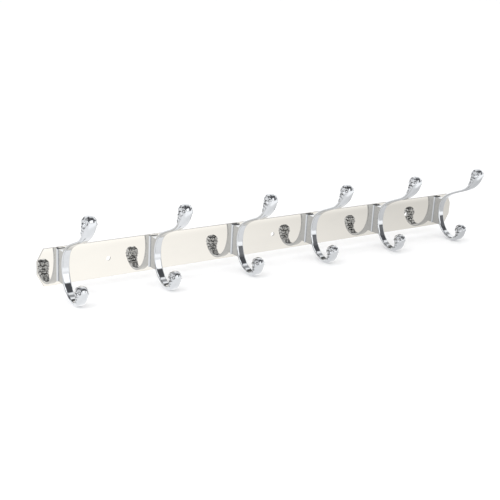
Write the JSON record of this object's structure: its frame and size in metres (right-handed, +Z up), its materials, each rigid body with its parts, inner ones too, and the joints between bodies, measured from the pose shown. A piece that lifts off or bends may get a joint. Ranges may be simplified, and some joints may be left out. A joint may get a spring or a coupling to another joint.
{
  "type": "wall hook rack",
  "caption": "Long flat wall rail of mirror-polished steel with clipped corners, carrying a row of cast chrome double hooks.",
  "frame": {"origin": "centre of the rail's back face, on the wall plane, which is also the centre of the row of wall-screw holes", "axes": "+X along the rail to the right as seen from the front, +Y into the wall, +Z up"},
  "size_m": [0.582, 0.0728, 0.0999],
  "materials": {
    "polished_steel": "stainless steel sheet, mirror polished",
    "chrome_plate": "bright chrome plate on a zinc die casting",
    "screw_steel": "zinc-plated steel"
  },
  "bodies": {
    "root": {"back_rail": "polished_steel", "hook_1": "chrome_plate", "hook_2": "chrome_plate", "hook_3": "chrome_plate", "hook_4": "chrome_plate", "hook_5": "chrome_plate", "hook_6": "chrome_plate", "screw_1_upper": "screw_steel", "screw_1_lower": "screw_steel", "screw_2_upper": "screw_steel", "screw_2_lower": "screw_steel", "screw_3_upper": "screw_steel", "screw_3_lower": "screw_steel", "screw_4_upper": "screw_steel", "screw_4_lower": "screw_steel", "screw_5_upper": "screw_steel", "screw_5_lower": "screw_steel", "screw_6_upper": "screw_steel", "screw_6_lower": "screw_steel"}
  },
  "joints": []
}
